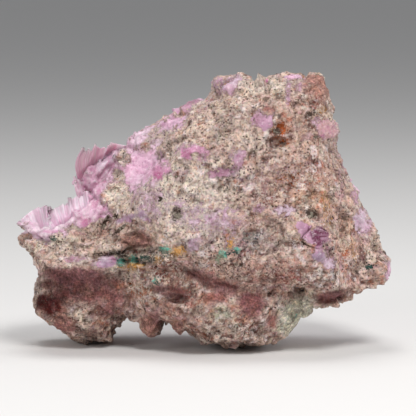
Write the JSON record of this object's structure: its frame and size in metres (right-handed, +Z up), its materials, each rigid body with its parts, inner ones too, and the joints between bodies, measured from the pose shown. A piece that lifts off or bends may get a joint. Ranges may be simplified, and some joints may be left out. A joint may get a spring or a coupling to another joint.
{
  "type": "cobaltoan calcite specimen",
  "caption": "Broken lump of pale carbonate rock with a pink crystal crust over its back and upper left edge, standing on two lobes.",
  "frame": {"origin": "on the surface that the specimen stands on, below the middle of its box", "axes": "+Z up, +X to the right along the longest extent as seen from the bare face, the bare broken face towards -Y"},
  "size_m": [0.1198, 0.0592, 0.0884],
  "materials": {
    "matrix": "rough broken carbonate rock, cream to tan with rust, lilac and green patches",
    "pink_calcite": "translucent pink crystals with a glassy lustre",
    "mauve_calcite": "translucent mauve cleavage faces with a glassy lustre"
  },
  "bodies": {
    "root": {"matrix_rock": "matrix", "calcite_crust": "pink_calcite", "pocket_crystal": "mauve_calcite"}
  },
  "joints": []
}
